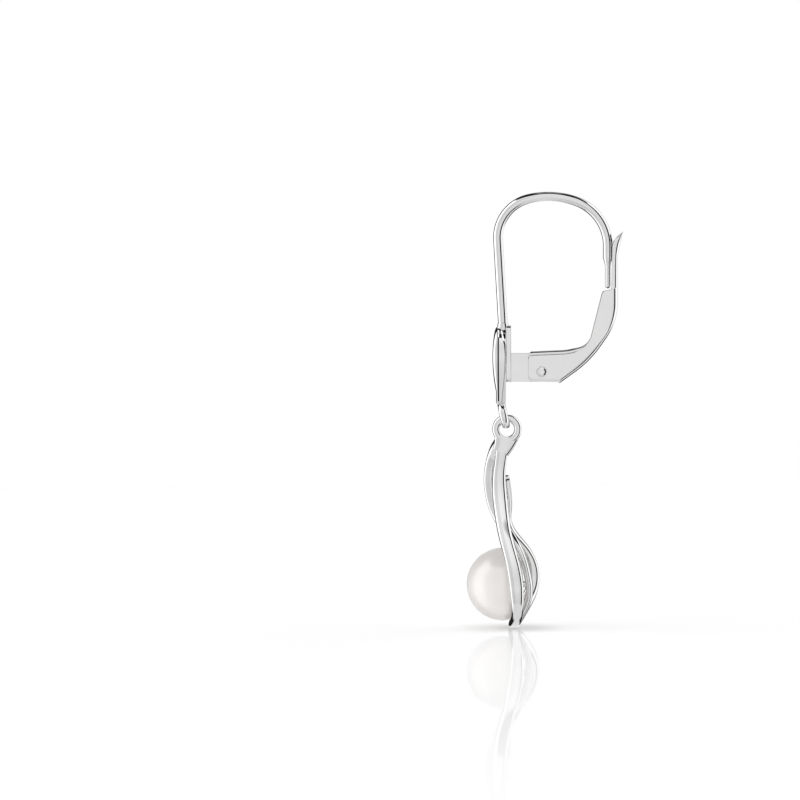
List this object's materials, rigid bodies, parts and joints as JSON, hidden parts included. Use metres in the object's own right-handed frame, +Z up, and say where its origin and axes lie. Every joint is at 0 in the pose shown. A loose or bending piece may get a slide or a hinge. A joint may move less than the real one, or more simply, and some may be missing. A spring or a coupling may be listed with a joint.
{
  "type": "leverback earring",
  "caption": "Leverback drop earring: ear wire with a hinged channel lever, pear-shaped plate, and a hanging drop of flowing ribbons round a button pearl.",
  "frame": {"origin": "underside of the ear wire's crown, where the lobe's piercing hangs it", "axes": "front faces -Y, +X to the right seen from the front, +Z up"},
  "size_m": [0.0084, 0.0128, 0.0359],
  "materials": {
    "white_gold": "polished",
    "pearl": "gloss"
  },
  "bodies": {
    "hook": {"ear_hook": "white_gold"},
    "lever_arm": {"lever": "white_gold", "hinge_rivet": "white_gold"},
    "drop": {"drop_frame": "white_gold", "pearl": "pearl"}
  },
  "joints": [
    {"name": "lever_hinge", "type": "hinge", "parent": "hook", "child": "lever_arm", "pos_m": [0, -0.00052, -0.01396], "axis": [-1, 0, 0], "range_deg": [0, 80]},
    {"name": "drop_swing", "type": "hinge", "parent": "hook", "child": "drop", "pos_m": [0, -0.00344, -0.01842], "axis": [1, 0, 0], "range_deg": [-45, 45]}
  ]
}
